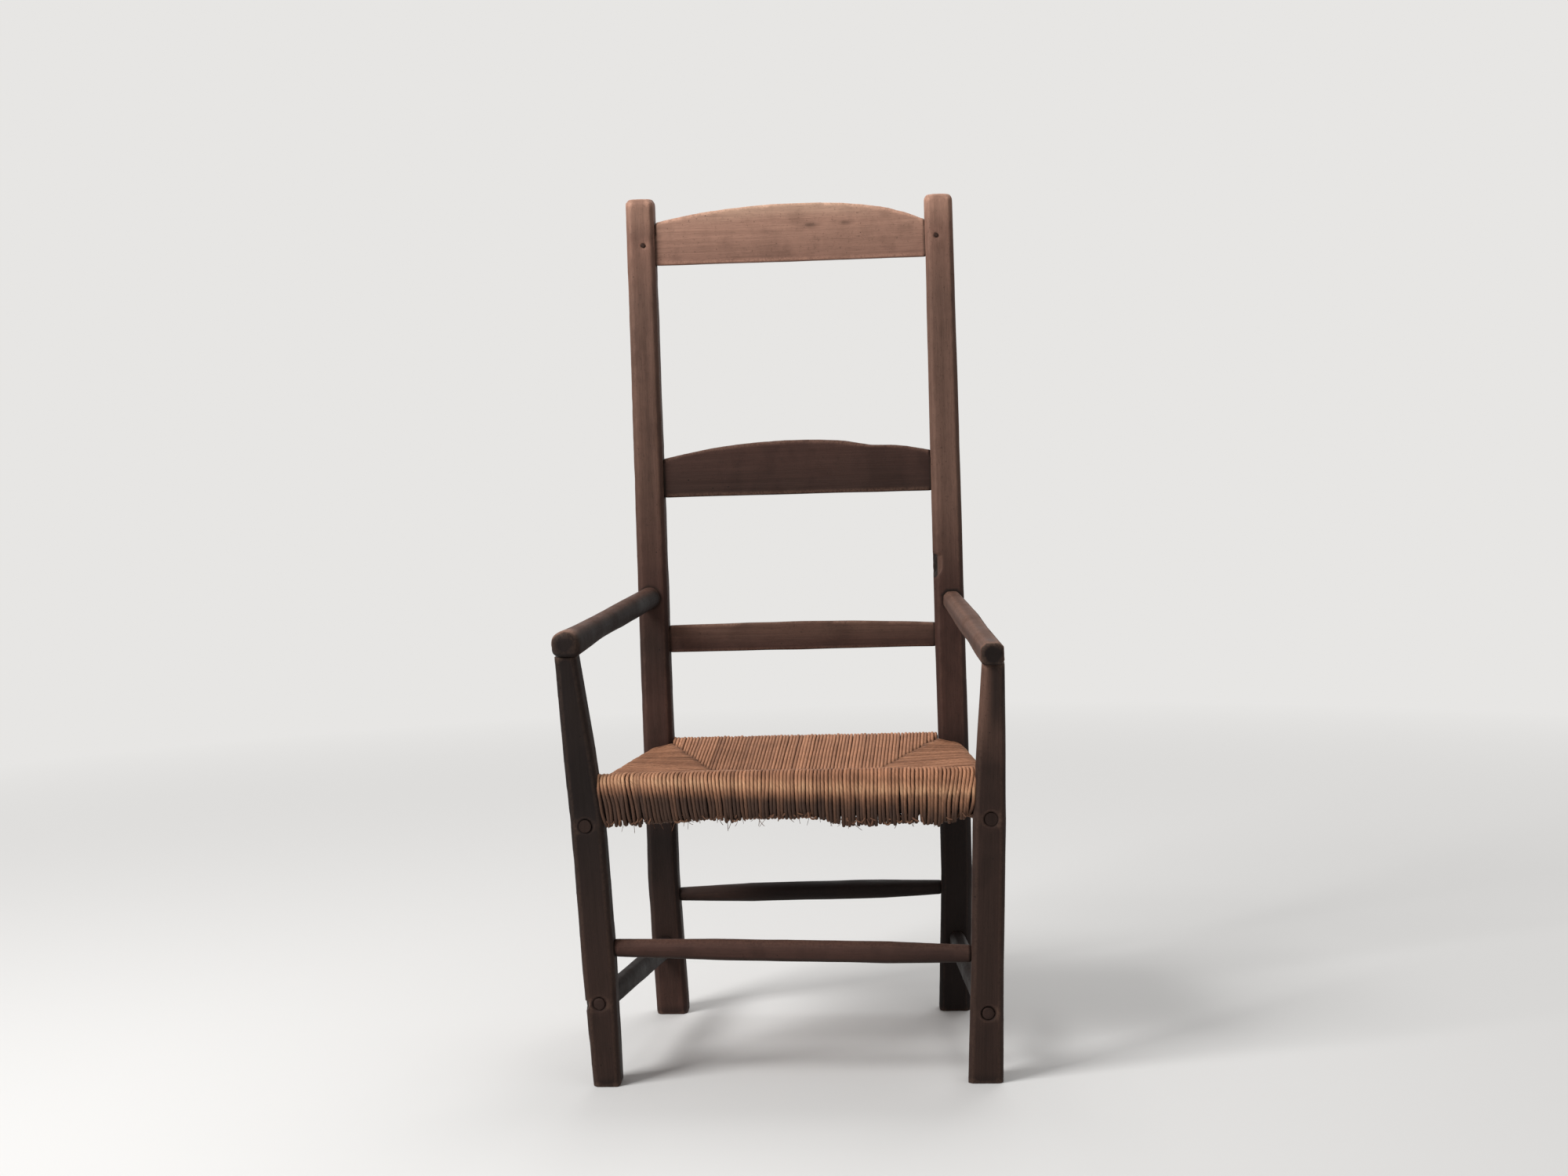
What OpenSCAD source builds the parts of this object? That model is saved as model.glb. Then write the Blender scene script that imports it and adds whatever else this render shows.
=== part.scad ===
// Rush-seated ladder-back armchair, hand made from plain wooden members.
// Seen from the front, left is -X and right is +X. +Y is the back and +Z is up.
// The origin is on the floor under the middle of the chair's box.

/* [Frame] */
// Distance between the centres of the front feet
front_foot_spread = 479; // [400:1:560]
// Distance between the centres of the front legs at the seat
front_seat_spread = 503; // [420:1:600]
// Distance between the centres of the front legs under the arms
arm_spread = 534; // [440:1:640]
// How far both arms stand off to the left of the middle
arm_drift = 5.5; // [0:0.5:10]
// Distance between the centres of the back feet
back_foot_spread = 398; // [330:1:470]
// Distance between the centres of the back posts at the seat
back_seat_spread = 412; // [340:1:480]
// Distance between the centres of the back posts at their tops
back_top_spread = 416; // [340:1:490]
// How far both post tops stand off to the left of the middle
back_drift = 4; // [0:0.5:8]
// Distance from the front face of the front legs to the front face of the back posts
base_depth = 355; // [290:1:430]
// How far the back posts lean back between the seat and their tops
back_rake = 52; // [30:1:70]

/* [Back posts] */
// Height of the right back post
back_h = 1136; // [940:1:1370]
// How much taller the left back post is
post_left_extra = 8; // [0:1:14]
// Width of a back post at the foot
post_foot_w = 44; // [36:0.5:54]
// Width of a back post at its top
post_top_w = 39; // [32:0.5:48]
// Depth of a back post, front to back
post_d = 36; // [30:0.5:44]
// Worn chamfer along the edges of the posts
post_chamfer = 6; // [2:0.5:9]
// Height of the softened top of a back post
post_cap_h = 6; // [3:0.5:12]

/* [Front legs] */
// Height of the left front leg's shoulder, under the arm, above the front seat rail
leg_left_rise = 156; // [125:1:190]
// Height of the right front leg's shoulder, under the arm, above the front seat rail
leg_right_rise = 135; // [110:1:165]
// Width of the left front foot
leg_left_foot_w = 35; // [30:0.5:44]
// Width of the right front foot
leg_right_foot_w = 44; // [34:0.5:52]
// Width of the left front leg from the stretchers up to the seat
leg_left_w = 42; // [34:0.5:50]
// Width of the right front leg from the stretchers up to the seat
leg_right_w = 41; // [34:0.5:50]
// Width of a front leg at its top
leg_top_w = 28; // [24:0.5:34]
// Depth of a front leg, front to back
leg_d = 38; // [32:0.5:46]
// Worn chamfer along the edges of the front legs
leg_chamfer = 5; // [2:0.5:8]

/* [Arms] */
// Diameter of the round left arm at its middle
arm_left_dia = 31; // [26:0.5:38]
// Diameter of the round left arm where it meets the back post
arm_left_back_dia = 30; // [24:0.5:36]
// Diameter of the knob at the front of the left arm
arm_knob_dia = 33; // [30:0.5:40]
// Height of the left arm's middle at the back post above the front seat rail
arm_left_back_rise = 195; // [158:1:234]
// Width and height of the squared right arm at its front
arm_right_w = 28; // [24:0.5:34]
// Width and height of the squared right arm where it meets the back post
arm_right_back_w = 24; // [20:0.5:30]
// Height of the right arm's middle at the back post above the front seat rail
arm_right_back_rise = 182; // [150:1:220]
// How far the arms reach past the front face of the front legs
arm_overhang = 8; // [4:0.5:16]
// How far the arms' back ends stand outside the middle of the back posts
arm_back_outset = 4; // [0:0.5:8]
// How far the front of the left arm stands inside the middle of its leg
arm_left_inset = 2.5; // [0:0.5:5]

/* [Slats] */
// Distance from the top of the right back post down to the lower edge of the top slat
top_slat_below = 85; // [70:1:110]
// Height of the top slat at its crown
top_slat_h = 80; // [66:1:96]
// Height of the lower edge of the middle slat above the front seat rail
middle_slat_rise = 333; // [270:1:400]
// Height of the middle slat at its crown
middle_slat_h = 76; // [62:1:92]
// Height of the lower edge of the lower slat above the front seat rail
lower_slat_rise = 117; // [95:1:145]
// Height of the lower slat at its crown
lower_slat_h = 39; // [32:1:48]
// Thickness of the slats
slat_t = 14; // [10:0.5:18]
// How deep the slats go into the back posts
slat_tongue = 20; // [14:0.5:28]
// Diameter of the pegs that hold the top slat
peg_dia = 6; // [4:0.5:8]

/* [Seat] */
// Height of the top of the front seat rail
seat_h = 394; // [326:1:474]
// Height of the front seat rail's section
front_rail_h = 52; // [42:1:63]
// How far the tops of the side seat rails lie below the front one
side_rail_drop = 19; // [12:1:30]
// Height of the side seat rails' section
side_rail_h = 49; // [40:1:59]
// How far the top of the back seat rail lies below the front one
back_rail_drop = 7; // [0:1:20]
// Height of the back seat rail's section
back_rail_h = 44; // [36:1:54]
// Thickness of the seat rails
rail_t = 24; // [18:0.5:30]
// Chamfer along the edges of the seat rails
rail_chamfer = 7; // [3:0.5:8.5]
// Thickness of the twisted rush laid round the rails
rush_t = 6; // [4:0.5:8]
// How far the woven seat sags in the middle, below the side rails
seat_sag = 6; // [0:0.5:14]
// Thickness of the woven middle, with its packing
web_t = 34; // [24:1:42]
// Half the length of the seam in the middle of the seat
seam_half = 112; // [80:1:140]

/* [Stretchers] */
// Height of the middle of the front stretcher at the left leg
front_stretcher_left_z = 176; // [140:1:220]
// Height of the middle of the front stretcher at the right leg
front_stretcher_right_z = 161; // [130:1:210]
// Diameter of the front stretcher at its thickest
front_stretcher_dia = 27; // [22:0.5:34]
// Height of the middle of the back stretcher
back_stretcher_z = 170; // [136:1:214]
// Diameter of the back stretcher at its thickest
back_stretcher_dia = 26; // [20:0.5:32]
// Height of the middle of the left stretcher at the front leg
left_stretcher_z = 107; // [80:1:125]
// Height of the middle of the right stretcher at the front leg
right_stretcher_z = 90; // [75:1:125]
// Height of the side stretchers' section
side_stretcher_h = 28; // [22:0.5:34]
// Thickness of the side stretchers
side_stretcher_t = 21; // [16:0.5:26]
// Chamfer along the edges of the side stretchers
side_stretcher_chamfer = 5; // [2:0.5:7]

/* [Joints] */
// Diameter of the round tenons of the stretchers and seat rails
tenon_dia = 16; // [12:0.5:20]
// How deep the arms and side members go into the back posts
tenon_depth = 24; // [16:0.5:29]
// How far the tenons of the cross members pass the middle of an upright
cross_reach = 3; // [0:0.5:8]
// Clearance round a tenon or peg
joint_gap = 0.1; // [0.05:0.05:0.4]
// Clearance between the rush and the wood inside it
rush_gap = 0.3; // [0.2:0.1:0.8]

/* [Hidden] */
$fn = 48;
LEFT = -1;
RIGHT = 1;

wood = [0.36, 0.21, 0.14];
dark_wood = [0.25, 0.15, 0.11];
pale_wood = [0.50, 0.31, 0.22];
rush = [0.62, 0.42, 0.24];

side_rail_top = seat_h - side_rail_drop;
back_rail_top = seat_h - back_rail_drop;
top_slat_z = back_h - top_slat_below;
middle_slat_z = seat_h + middle_slat_rise;
lower_slat_z = seat_h + lower_slat_rise;

// The chair is drawn from the front face of its legs, then moved so that its box is centred.
mid_y = (base_depth + back_rake + post_d - arm_overhang) / 2;
leg_y = leg_d / 2;
post_y = base_depth + post_d / 2;
post_h = back_h + post_left_extra;
// The posts are straight up to the seat and lean back above it.
bend_z = seat_h;
rake_angle = atan(back_rake / (post_h - bend_z));
// Slack by which one shape runs into the next before it is trimmed
bite = 1;

// ---- Where the upright members stand at a height z ----

function post_x(s, z) = lookup(z, [
    [0, s * back_foot_spread / 2],
    [bend_z / 2, s * back_seat_spread / 2],
    [bend_z, s * back_seat_spread / 2],
    [post_h, s * back_top_spread / 2 - back_drift]]);
function post_w(z) = lookup(z, [[0, post_foot_w], [post_h, post_top_w]]);
function post_front(z) = base_depth + max(0, z - bend_z) * tan(rake_angle);

function leg_h(s) = seat_h + (s == LEFT ? leg_left_rise : leg_right_rise);
function leg_x(s, z) = lookup(z, [
    [0, s * front_foot_spread / 2],
    [side_rail_top - side_rail_h, s * front_seat_spread / 2],
    [leg_h(s), s * arm_spread / 2 - arm_drift]]);
function leg_foot_w(s) = s == LEFT ? leg_left_foot_w : leg_right_foot_w;
function leg_w(s) = s == LEFT ? leg_left_w : leg_right_w;

// ---- Plain shapes ----

// Eight corners of a rectangle w by d with its corners cut back by c, centred on [x, y]
function cut_corners(x, y, z, w, d, c) = [
    for (p = [[1, -1, 0], [1, 1, 0], [1, 1, 1], [-1, 1, 1],
              [-1, 1, 0], [-1, -1, 0], [-1, -1, 1], [1, -1, 1]])
        [x + p[0] * (w / 2 - (p[2] == 1 ? c : 0)), y + p[1] * (d / 2 - (p[2] == 1 ? 0 : c)), z]];

// A hewn member that passes through its stations, each [z, x, y, width, depth, chamfer]
module limb(stations) {
    last = len(stations) - 1;
    points = [for (s = stations) each cut_corners(s[1], s[2], s[0], s[3], s[4], s[5])];
    walls = [for (i = [0 : last - 1], k = [0 : 7])
        let (a = 8 * i + k, b = 8 * i + (k + 1) % 8)
        each [[a, a + 8, b + 8], [a, b + 8, b]]];
    polyhedron(points, concat([[for (k = [0 : 7]) k]], walls,
                              [[for (k = [7 : -1 : 0]) 8 * last + k]]), convexity = 4);
}

// Turns +Z onto the line from a to b and starts it at a. A child's x then points down.
module along(a, b) {
    run = b - a;
    translate(a)
        rotate([0, acos(run[2] / norm(run)), atan2(run[1], run[0])])
            children();
}

// A straight bar along a line, of height h and thickness t, with its edges cut back by c
module bar(line, h, t, c) {
    along(line[0], line[1])
        limb([[0, 0, 0, h, t, c], [norm(line[1] - line[0]), 0, 0, h, t, c]]);
}

// A rod along a line that swells from end_dia to mid_dia
module rod(line, end_dia, mid_dia) {
    length = norm(line[1] - line[0]);
    along(line[0], line[1])
        rotate_extrude()
            polygon([[0, 0], [end_dia / 2, 0], [mid_dia / 2, length * 0.3],
                     [mid_dia / 2, length * 0.75], [end_dia / 2, length], [0, length]]);
}

// A round tenon, or its hole when gap is given, from a towards b
module tenon(a, b, length, gap = 0) {
    along(a, b) cylinder(d = tenon_dia + 2 * gap, h = length);
}

// ---- Upright members before any joint is cut ----

module post_blank(s, grow = 0) {
    h = s == LEFT ? post_h : back_h;
    levels = [0, bend_z / 2, bend_z, h - post_cap_h, h];
    limb([for (z = levels)
        let (ease = z == h ? 2 * post_cap_h / 3 : 0)
        [z, post_x(s, z), post_front(z) + post_d / 2,
         post_w(z) - 2 * ease + 2 * grow, post_d - 2 * ease + 2 * grow, post_chamfer]]);
}

module leg_blank(s, grow = 0) {
    // [share of the leg's height, width]
    widths = [[0, leg_foot_w(s)], [0.3, leg_w(s)], [0.62, leg_w(s)], [0.78, leg_w(s) - 4],
              [1, leg_top_w]];
    limb([for (w = widths)
        let (z = w[0] * leg_h(s))
        [z, leg_x(s, z), leg_y, w[1] + 2 * grow, leg_d + 2 * grow, leg_chamfer]]);
}

// ---- Where the members that join the uprights run ----

// Height of a side rail's tenon, low in the rail so that it clears the front rail's tenon
side_tenon_z = side_rail_top - side_rail_h + tenon_dia / 2 + bite;
front_tenon_z = seat_h - front_rail_h / 3;
back_tenon_z = back_rail_top - back_rail_h / 3;

function front_end(s, z) = [leg_x(s, z), leg_y, z];
function back_end(s, z) = [post_x(s, z), post_y, z];

// The left stretcher drops this much towards the back and the right one rises by it.
stretcher_fall = 10;
function stretcher_z(s) = s == LEFT ? left_stretcher_z : right_stretcher_z;

// Both ends of a side member: its front end inside the leg, its back end inside the post
function side_stretcher_line(s) =
    [front_end(s, stretcher_z(s)), back_end(s, stretcher_z(s) + s * stretcher_fall)];
function side_rail_line(s) = [front_end(s, side_tenon_z), back_end(s, side_tenon_z)];

module side_tenons(line, gap = 0) {
    run = (line[1] - line[0]) / norm(line[1] - line[0]);
    // Past the front face of the leg for the hole, just proud of it for the tenon
    reach = leg_d / 2 / run[1] + (gap > 0 ? 2 * bite : 0.4);
    front = line[0] - reach * run;
    back = line[1] + run * (tenon_depth + gap - post_d / 2);
    tenon(front, back, norm(back - front), gap);
}

// Cross members run between the centre lines of two uprights.
module cross_tenons(line, gap = 0) {
    reach = cross_reach + gap;
    run = (line[1] - line[0]) / norm(line[1] - line[0]);
    tenon(line[0] - run * reach, line[1], norm(line[1] - line[0]) + 2 * reach, gap);
}

front_rail_line = [front_end(LEFT, front_tenon_z), front_end(RIGHT, front_tenon_z)];
back_rail_line = [back_end(LEFT, back_tenon_z), back_end(RIGHT, back_tenon_z)];
front_stretcher_line = [front_end(LEFT, front_stretcher_left_z),
                        front_end(RIGHT, front_stretcher_right_z)];
back_stretcher_line = [back_end(LEFT, back_stretcher_z - 2), back_end(RIGHT, back_stretcher_z + 3)];

// ---- Slats ----

// A slat's upper edge drops from its crown by a power of the distance from the middle.
function crown(x, half, h, drop, power) = h - drop * pow(min(1, abs(x) / half), power);

// One slat seen from the front: bottom edge at z = 0, dropping differently to each side
module slat_outline(half, h, drops, powers, scoop) {
    steps = 24;
    polygon(concat([[-half, 0], [half, 0]],
        [for (i = [steps : -1 : 0])
            let (x = half * (2 * i / steps - 1), s = x < 0 ? 0 : 1)
            [x, crown(x, half, h, drops[s], powers[s]) - scoop * exp(-pow((x - half / 2) / 26, 2))]]));
}

// The place of a slat's bottom edge: in the middle of the posts' depth and leaning with them
module slat_place(z) {
    translate([(post_x(LEFT, z) + post_x(RIGHT, z)) / 2, post_front(z) + post_d / 2, z])
        rotate([-rake_angle, 0, 0])
            children();
}

function slat_half(z) = (post_x(RIGHT, z) - post_x(LEFT, z)) / 2;
// Distance from the middle of a slat to the end of its tongue
function tongue_half(z) = slat_half(z) - post_w(z) / 2 + slat_tongue;

// Each slat as [lower edge, height at the crown, drops to its ends, powers of the drops, scoop]
top_slat_form = [top_slat_z, top_slat_h, [25, 38], [2, 3], 0];
middle_slat_form = [middle_slat_z, middle_slat_h, [27, 24], [2, 2], 4];
lower_slat_form = [lower_slat_z, lower_slat_h, [2, 7], [2, 2], 0];
// The tongues are this much lower than the slat's ends, above and below.
tongue_step = 2;

// The tongues run straight into the posts. With a gap this is the mortises' shape.
module slat_tongues(form, gap = 0) {
    half = tongue_half(form[0]) + gap;
    tongue_h = form[1] - max(form[2]) - 2 * tongue_step;
    slat_place(form[0])
        translate([-half, -slat_t / 2 - gap, tongue_step - gap])
            cube([2 * half, slat_t + 2 * gap, tongue_h + 2 * gap]);
}

module slat(form) {
    difference() {
        slat_place(form[0])
            rotate([90, 0, 0])
                translate([0, 0, -slat_t / 2])
                    linear_extrude(slat_t)
                        slat_outline(slat_half(form[0]), form[1], form[2], form[3], form[4]);
        post_blank(LEFT);
        post_blank(RIGHT);
    }
    slat_tongues(form);
}

// The pegs sit a little above the middle of the top slat's tongues.
peg_z = top_slat_z + 28;

module pegs(gap = 0) {
    for (s = [LEFT, RIGHT])
        translate([post_x(s, peg_z) - s * 4, post_front(peg_z) - 1.2, peg_z])
            rotate([-90, 0, 0])
                cylinder(d = peg_dia + 2 * gap, h = post_d - 6 + gap);
}

// ---- Arms ----

arm_left_front = [leg_x(LEFT, leg_h(LEFT)) + arm_left_inset, -arm_overhang,
                  leg_h(LEFT) + arm_left_dia / 2];
arm_right_front = [leg_x(RIGHT, leg_h(RIGHT)), -arm_overhang,
                   leg_h(RIGHT) + arm_right_w / 2 - 1.5];

function arm_end(s) = let (z = seat_h + (s == LEFT ? arm_left_back_rise : arm_right_back_rise))
    [post_x(s, z) + s * arm_back_outset, post_front(z), z];

module arm_left_blank() {
    length = norm(arm_end(LEFT) - arm_left_front) + post_d / 3;
    r = arm_left_dia / 2;
    knob = arm_knob_dia / 2;
    along(arm_left_front, arm_end(LEFT))
        rotate_extrude()
            polygon([[0, 0], [0.55 * knob, 0], [0.82 * knob, 2], [0.96 * knob, 6], [knob, 12],
                     [0.97 * knob, 24], [r, 48], [r, 0.7 * length],
                     [arm_left_back_dia / 2, length], [0, length]]);
}

module arm_right_blank() {
    length = norm(arm_end(RIGHT) - arm_right_front) + post_d / 3;
    w = arm_right_w;
    along(arm_right_front, arm_end(RIGHT))
        limb([[0, 0, 0, w - 5, w - 5, 5], [4, 0, 0, w, w, 6], [0.6 * length, 0, 0, w, w, 6],
              [length, 0, 0, arm_right_back_w, arm_right_back_w, 6]]);
}

// The back tenon of an arm, blind in the post's front face
module arm_tenon(s, gap = 0) {
    front = s == LEFT ? arm_left_front : arm_right_front;
    run = (arm_end(s) - front) / norm(arm_end(s) - front);
    tenon(arm_end(s) - 10 * run, arm_end(s), 10 + tenon_depth + gap, gap);
}

// The leg's own tenon, which goes up into the underside of the arm
module leg_tenon(s, gap = 0) {
    translate([leg_x(s, leg_h(s)), leg_y, leg_h(s) - bite])
        cylinder(d = tenon_dia + 2 * gap, h = arm_right_w * 0.6 + bite + gap);
}

// The flat shoulder that the arm is cut to sit on
module leg_shoulder(s) {
    translate([leg_x(s, leg_h(s)) - leg_top_w, -arm_overhang / 8, leg_h(s) - 20])
        cube([2 * leg_top_w, leg_d + arm_overhang / 4, 20]);
}

// ---- Pieces of wood ----

module back_post(s) {
    color(wood)
        difference() {
            post_blank(s);
            arm_tenon(s, joint_gap);
            side_tenons(side_rail_line(s), joint_gap);
            side_tenons(side_stretcher_line(s), joint_gap);
            cross_tenons(back_rail_line, joint_gap);
            cross_tenons(back_stretcher_line, joint_gap);
            for (form = [top_slat_form, middle_slat_form, lower_slat_form])
                slat_tongues(form, joint_gap);
            pegs(joint_gap);
        }
}

module back_post_left() {
    back_post(LEFT);
}

module back_post_right() {
    back_post(RIGHT);
}

module front_leg(s) {
    color(dark_wood) {
        difference() {
            leg_blank(s);
            side_tenons(side_rail_line(s), joint_gap);
            side_tenons(side_stretcher_line(s), joint_gap);
            cross_tenons(front_rail_line, joint_gap);
            cross_tenons(front_stretcher_line, joint_gap);
        }
        leg_tenon(s);
    }
}

module front_leg_left() {
    front_leg(LEFT);
}

module front_leg_right() {
    front_leg(RIGHT);
}

module arm(s) {
    color(wood) {
        difference() {
            if (s == LEFT) arm_left_blank();
            else arm_right_blank();
            post_blank(s);
            leg_shoulder(s);
            leg_tenon(s, joint_gap);
        }
        arm_tenon(s);
    }
}

module arm_left() {
    arm(LEFT);
}

module arm_right() {
    arm(RIGHT);
}

module top_slat() {
    color(pale_wood)
        difference() {
            slat(top_slat_form);
            pegs(joint_gap);
        }
}

module middle_slat() {
    color(wood)
        slat(middle_slat_form);
}

module lower_slat() {
    color(wood)
        slat(lower_slat_form);
}

module slat_pegs() {
    color(dark_wood)
        pegs();
}

// A seat rail is a tall board with rounded edges, its tenons lower than its middle.
module rail_bar(line, top, h, grow = 0) {
    z = top - h / 2;
    level = [for (end = line) [end[0], end[1], z]];
    bar(level, h + 2 * grow, rail_t + 2 * grow, rail_chamfer);
}

module seat_rail_front() {
    color(dark_wood) {
        difference() {
            rail_bar(front_rail_line, seat_h, front_rail_h);
            leg_blank(LEFT);
            leg_blank(RIGHT);
        }
        cross_tenons(front_rail_line);
    }
}

module seat_rail_back() {
    color(dark_wood) {
        difference() {
            rail_bar(back_rail_line, back_rail_top, back_rail_h);
            post_blank(LEFT);
            post_blank(RIGHT);
        }
        cross_tenons(back_rail_line);
    }
}

module seat_rail_side(s) {
    line = side_rail_line(s);
    color(dark_wood) {
        difference() {
            rail_bar(line, side_rail_top, side_rail_h);
            leg_blank(s);
            post_blank(s);
        }
        side_tenons(line);
    }
}

module seat_rail_left() {
    seat_rail_side(LEFT);
}

module seat_rail_right() {
    seat_rail_side(RIGHT);
}

module stretcher_front() {
    color(wood) {
        difference() {
            rod(front_stretcher_line, front_stretcher_dia - 6, front_stretcher_dia);
            leg_blank(LEFT);
            leg_blank(RIGHT);
        }
        cross_tenons(front_stretcher_line);
    }
}

module stretcher_back() {
    color(dark_wood) {
        difference() {
            rod(back_stretcher_line, back_stretcher_dia - 8, back_stretcher_dia);
            post_blank(LEFT);
            post_blank(RIGHT);
        }
        cross_tenons(back_stretcher_line);
    }
}

module stretcher_side(s) {
    line = side_stretcher_line(s);
    color(dark_wood) {
        difference() {
            bar(line, side_stretcher_h, side_stretcher_t, side_stretcher_chamfer);
            leg_blank(s);
            post_blank(s);
        }
        side_tenons(line);
    }
}

module stretcher_left() {
    stretcher_side(LEFT);
}

module stretcher_right() {
    stretcher_side(RIGHT);
}

// ---- Rush seat ----

// Rush wound round one rail: the rail's own board grown by the thickness of the rush
module rush_roll(line, top, h) {
    rail_bar(line, top, h, rush_t);
}

// The woven middle, between the four rolls, sagging to a seam along the middle
module rush_web() {
    front_z = seat_h - rush_t;
    back_z = back_rail_top - rush_t;
    seam_z = side_rail_top - seat_sag;
    seam_y = (leg_y + post_y) / 2;
    corners = [[leg_x(LEFT, front_z), leg_y, front_z], [leg_x(RIGHT, front_z), leg_y, front_z],
               [post_x(RIGHT, back_z), post_y, back_z], [post_x(LEFT, back_z), post_y, back_z],
               [-seam_half, seam_y, seam_z], [seam_half, seam_y, seam_z]];
    bottom = [for (p = corners) [p[0], p[1], p[2] - web_t]];
    polyhedron(concat(corners, bottom), [
        [0, 5, 1], [0, 4, 5], [1, 5, 2], [2, 5, 4], [2, 4, 3], [3, 4, 0],
        [6, 7, 11], [6, 11, 10], [7, 8, 11], [8, 10, 11], [8, 9, 10], [9, 6, 10],
        [0, 1, 7], [0, 7, 6], [1, 2, 8], [1, 8, 7], [2, 3, 9], [2, 9, 8], [3, 0, 6], [3, 6, 9]]);
}

module rush_seat() {
    color(rush)
        difference() {
            union() {
                rush_roll(front_rail_line, seat_h, front_rail_h);
                rush_roll(back_rail_line, back_rail_top, back_rail_h);
                for (s = [LEFT, RIGHT])
                    rush_roll(side_rail_line(s), side_rail_top, side_rail_h);
                rush_web();
            }
            rail_bar(front_rail_line, seat_h, front_rail_h, rush_gap);
            rail_bar(back_rail_line, back_rail_top, back_rail_h, rush_gap);
            for (s = [LEFT, RIGHT]) {
                rail_bar(side_rail_line(s), side_rail_top, side_rail_h, rush_gap);
                leg_blank(s, rush_gap);
                post_blank(s, rush_gap);
            }
        }
}

// Moves the chair from the front face of its legs to the middle of its box
module centred() {
    translate([arm_drift, -mid_y, 0])
        children();
}

centred() back_post_left();
centred() back_post_right();
centred() front_leg_left();
centred() front_leg_right();
centred() arm_left();
centred() arm_right();
centred() top_slat();
centred() middle_slat();
centred() lower_slat();
centred() slat_pegs();
centred() seat_rail_front();
centred() seat_rail_back();
centred() seat_rail_left();
centred() seat_rail_right();
centred() stretcher_front();
centred() stretcher_back();
centred() stretcher_left();
centred() stretcher_right();
centred() rush_seat();
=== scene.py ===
import itertools
import math

import bmesh
import bpy
import numpy as np
from mathutils import Matrix, Vector
from mathutils.bvhtree import BVHTree


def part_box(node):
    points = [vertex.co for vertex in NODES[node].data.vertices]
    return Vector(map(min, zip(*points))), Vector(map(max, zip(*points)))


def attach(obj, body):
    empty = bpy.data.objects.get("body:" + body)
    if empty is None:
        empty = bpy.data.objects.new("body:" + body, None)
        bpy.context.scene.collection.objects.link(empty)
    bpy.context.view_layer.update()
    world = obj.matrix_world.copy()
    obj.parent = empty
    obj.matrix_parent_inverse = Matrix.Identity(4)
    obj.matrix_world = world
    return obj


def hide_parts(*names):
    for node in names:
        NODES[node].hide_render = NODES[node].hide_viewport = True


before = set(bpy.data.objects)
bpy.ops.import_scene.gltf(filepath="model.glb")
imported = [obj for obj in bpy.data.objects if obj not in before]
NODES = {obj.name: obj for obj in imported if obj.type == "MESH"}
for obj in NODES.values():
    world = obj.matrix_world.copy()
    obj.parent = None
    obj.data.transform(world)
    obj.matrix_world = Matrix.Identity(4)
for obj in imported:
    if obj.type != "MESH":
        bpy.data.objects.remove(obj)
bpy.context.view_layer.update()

# The looks of a rush-seated ladder-back armchair of old worn wood, in metres, +Y to its back.
# Every wooden member is a worn copy of its CAD node, except the four seat rails, which are the
# CAD nodes themselves, hidden inside the rush. The rush seat is laid strand by strand.

MM = 0.001
X, Y, Z = 0, 1, 2


# ---- Shared helpers ----

# Odd numbers that scatter the bits of a cell's place, for noise()
CELL_PRIMES = np.array([73856093, 19349663, 83492791])
SEED_PRIME = 668265263
SCATTER = ((13, 1274126177), (15, 2246822519))


def noise(points, seed):
    """A smooth random field from -1 to 1 at each row of points, its cells one unit wide."""
    cell = np.floor(points).astype(np.int64)
    share = points - cell
    share = share * share * (3 - 2 * share)
    total = np.zeros(len(points))
    for corner in itertools.product((0, 1), repeat=3):
        hashed = (cell + corner) @ CELL_PRIMES + seed * SEED_PRIME
        for shift, prime in SCATTER:
            hashed = ((hashed ^ (hashed >> shift)) * prime) & 0xFFFFFFFF
        value = ((hashed ^ (hashed >> 16)) & 0xFFFF) / 32767.5 - 1
        weight = np.prod(np.where(np.array(corner) == 1, share, 1 - share), axis=1)
        total += weight * value
    return total


def smooth_step(value, low, high):
    """0 below low and 1 above high, with a soft turn at both."""
    t = np.clip((value - low) / (high - low), 0, 1)
    return t * t * (3 - 2 * t)


def rows_of(collection, name, width):
    """A mesh collection's values as an array with one row for each element."""
    values = np.zeros(len(collection) * width, np.int32 if name == "vertices" else np.float32)
    collection.foreach_get(name, values)
    return values.reshape(-1, width)


def carry(mesh, name, kind, values):
    """Stores one value for each vertex, for the materials to read."""
    field = {"FLOAT": "value", "FLOAT_VECTOR": "vector", "FLOAT_COLOR": "color"}[kind]
    attribute = mesh.attributes.new(name, kind, "POINT")
    attribute.data.foreach_set(field, np.asarray(values, np.float32).ravel())


def show(mesh, name, material, slot, *replaced):
    """Makes the mesh a piece of the chair."""
    mesh.name = name
    mesh.materials.append(material)
    mesh.polygons.foreach_set("use_smooth", np.ones(len(mesh.polygons), bool))
    piece = bpy.data.objects.new(name, mesh)
    bpy.context.scene.collection.objects.link(piece)
    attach(piece, "root")
    if replaced:
        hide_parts(*replaced)
    return piece


def section_points(node, axis, at):
    """Where a CAD node's edges cross the plane where axis equals at."""
    mesh = NODES[node].data
    points = rows_of(mesh.vertices, "co", 3)
    ends = rows_of(mesh.edges, "vertices", 2)
    a, b = points[ends[:, 0]], points[ends[:, 1]]
    crossing = (a[:, axis] - at) * (b[:, axis] - at) < 0
    a, b = a[crossing], b[crossing]
    share = (at - a[:, axis]) / (b[:, axis] - a[:, axis])
    return a + (b - a) * share[:, None]


def cut(node, axis, at):
    """(lowest, highest) corner of a CAD node's section by the plane where axis equals at."""
    found = section_points(node, axis, at)
    return found.min(0), found.max(0)


# ---- Materials ----

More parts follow.
